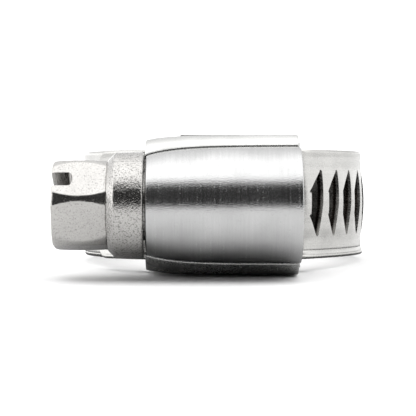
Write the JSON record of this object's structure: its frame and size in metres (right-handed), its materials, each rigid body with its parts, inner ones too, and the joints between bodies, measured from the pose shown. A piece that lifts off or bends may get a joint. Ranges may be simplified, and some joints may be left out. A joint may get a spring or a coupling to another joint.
{
  "type": "worm-drive hose clamp",
  "caption": "Round band clamp that a worm screw in a pressed housing tightens around a hose.",
  "frame": {"origin": "on the hose axis at half the band's height", "axes": "+Z along the hose axis, X along the screw with its head towards -X, housing on the -Y side"},
  "size_m": [0.026, 0.0335, 0.0114],
  "materials": {
    "band_steel": "satin",
    "housing_steel": "brushed",
    "saddle_steel": "satin",
    "screw_steel": "forged, grainy"
  },
  "bodies": {
    "clamp_body": {"housing": "housing_steel", "saddle": "saddle_steel", "band_fixed_end": "band_steel"},
    "screw": {"worm_screw": "screw_steel"},
    "tail": {"band_tail": "band_steel"},
    "loop_right": {"band_right": "band_steel"},
    "loop_back_right": {"band_back_right": "band_steel"},
    "loop_back_left": {"band_back_left": "band_steel"},
    "loop_left": {"band_left": "band_steel"}
  },
  "joints": [
    {"name": "screw_turn", "type": "hinge", "parent": "clamp_body", "child": "screw", "pos_m": [0, -0.01674, 0], "axis": [1, 0, 0], "range_deg": [-1080, 360]},
    {"name": "band_feed", "type": "hinge", "parent": "clamp_body", "child": "tail", "pos_m": [0, 0, 0], "axis": [0, 0, 1], "range_deg": [-11.16, 32.47]},
    {"name": "band_right_bend", "type": "hinge", "parent": "tail", "child": "loop_right", "pos_m": [0.0088, -0.00859, 0], "axis": [0, 0, 1], "range_deg": [-10.16, 3.72]},
    {"name": "band_back_right_bend", "type": "hinge", "parent": "loop_right", "child": "loop_back_right", "pos_m": [0.00987, 0.00665, 0], "axis": [0, 0, 1], "range_deg": [-3.63, 1.54]},
    {"name": "band_back_left_bend", "type": "hinge", "parent": "loop_back_right", "child": "loop_back_left", "pos_m": [-0.00247, 0.01164, 0], "axis": [0, 0, 1], "range_deg": [-9.04, 3.35]},
    {"name": "band_left_bend", "type": "hinge", "parent": "loop_back_left", "child": "loop_left", "pos_m": [-0.01172, 0.00207, 0], "axis": [0, 0, 1], "range_deg": [-3.54, 1.51]}
  ],
  "couplings": [
    {"joint": "band_feed", "follows": "screw_turn", "ratio": -0.029605},
    {"joint": "band_right_bend", "follows": "screw_turn", "ratio": 0.0089406},
    {"joint": "band_back_right_bend", "follows": "screw_turn", "ratio": 0.0029013},
    {"joint": "band_back_left_bend", "follows": "screw_turn", "ratio": 0.0079045},
    {"joint": "band_left_bend", "follows": "screw_turn", "ratio": 0.0028125}
  ]
}
